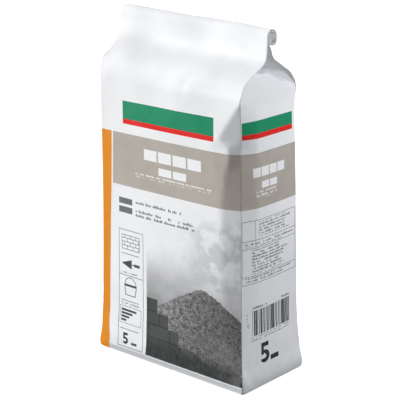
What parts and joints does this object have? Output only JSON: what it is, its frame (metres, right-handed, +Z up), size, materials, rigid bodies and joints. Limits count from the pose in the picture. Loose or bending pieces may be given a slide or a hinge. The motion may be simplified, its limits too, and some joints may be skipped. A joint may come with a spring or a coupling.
{
  "type": "cement bag",
  "caption": "Upright filled paper sack of cement with a flat block bottom, side gussets, leaning shoulders and a rolled-over top.",
  "frame": {"origin": "centre of the flat bottom, on the surface that the bag stands on", "axes": "+Z up to the rolled top, +X to the right along the width as seen from the front, +Y from the front wall to the back wall"},
  "size_m": [0.1808, 0.0898, 0.3267],
  "materials": {
    "sack_paper": "smooth white sack paper, satin from the print, softly creased",
    "cement_powder": "fine matt grey powder"
  },
  "bodies": {
    "root": {"paper_sack": "sack_paper", "cement_fill": "cement_powder"}
  },
  "joints": []
}
